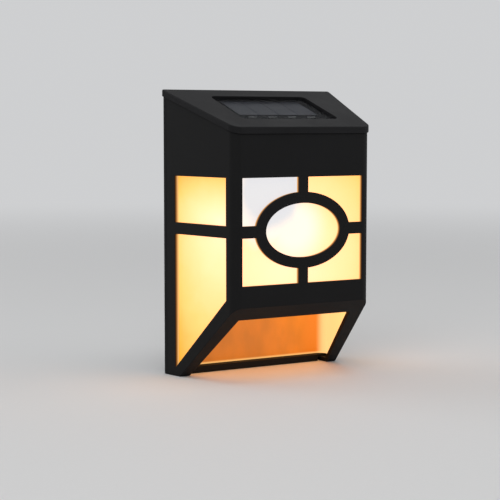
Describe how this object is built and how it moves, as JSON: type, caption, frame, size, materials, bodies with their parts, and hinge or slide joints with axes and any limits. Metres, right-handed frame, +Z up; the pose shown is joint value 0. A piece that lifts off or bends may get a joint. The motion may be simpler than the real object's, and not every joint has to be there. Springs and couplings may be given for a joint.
{
  "type": "fence light",
  "caption": "Wall mounted solar fence light with a sloped panel lid, a latticed black cage over a frosted amber sleeve and a slanted open mouth.",
  "frame": {"origin": "centre of the flat wall face at the back", "axes": "+X to the right as seen from the front, +Y into the wall, +Z up"},
  "size_m": [0.101, 0.0552, 0.1448],
  "materials": {
    "case_black": "moulded black ABS, fine satin texture",
    "lid_black": "moulded black ABS, fine satin texture, dusty",
    "frosted_amber": "frosted translucent amber, lit from inside",
    "seal_rubber": "soft black rubber",
    "panel_board": "dark circuit laminate",
    "cell_silicon": "dark blue-black silicon with fine grid lines",
    "cell_silver": "tinned strip",
    "panel_resin": "clear cast resin",
    "tray_white": "white ABS",
    "board_green": "green solder mask",
    "led_lens": "clear epoxy dome, warm white",
    "chip_black": "black epoxy",
    "coil_green": "lacquered coil",
    "battery_can": "nickel plated steel",
    "battery_wrap": "plain green shrink film",
    "spring_steel": "drawn steel wire",
    "contact_nickel": "nickel plated strip",
    "switch_can": "tinned sheet steel",
    "knob_black": "black nylon",
    "screw_steel": "zinc plated steel",
    "lead_red": "red insulation",
    "lead_black": "black insulation"
  },
  "bodies": {
    "case": {"housing": "case_black", "back_plate": "case_black", "lid": "lid_black", "diffuser": "frosted_amber", "lid_seal": "seal_rubber", "solar_board": "panel_board", "solar_cells": "cell_silicon", "cell_tabs": "cell_silver", "panel_cover": "panel_resin", "electronics_tray": "tray_white", "circuit_board": "board_green", "leds": "led_lens", "driver_chip": "chip_black", "inductor": "coil_green", "battery_cell": "battery_can", "battery_sleeve": "battery_wrap", "battery_spring": "spring_steel", "spring_plate": "contact_nickel", "contact_plate": "contact_nickel", "switch_body": "switch_can", "door_pin": "spring_steel", "case_screws": "screw_steel", "lid_screws": "screw_steel", "board_screws": "screw_steel", "solar_lead_red": "lead_red", "solar_lead_black": "lead_black", "battery_lead_red": "lead_red", "battery_lead_black": "lead_black", "switch_lead": "lead_red"},
    "switch": {"switch_knob": "knob_black"},
    "door": {"battery_door": "case_black"}
  },
  "joints": [
    {"name": "switch_slide", "type": "slide", "parent": "case", "child": "switch", "axis": [1, 0, 0], "range_m": [0, 0.003]},
    {"name": "door_hinge", "type": "hinge", "parent": "case", "child": "door", "pos_m": [0, -0.0024, 0.05381], "axis": [1, 0, 0], "range_deg": [0, 90]}
  ]
}
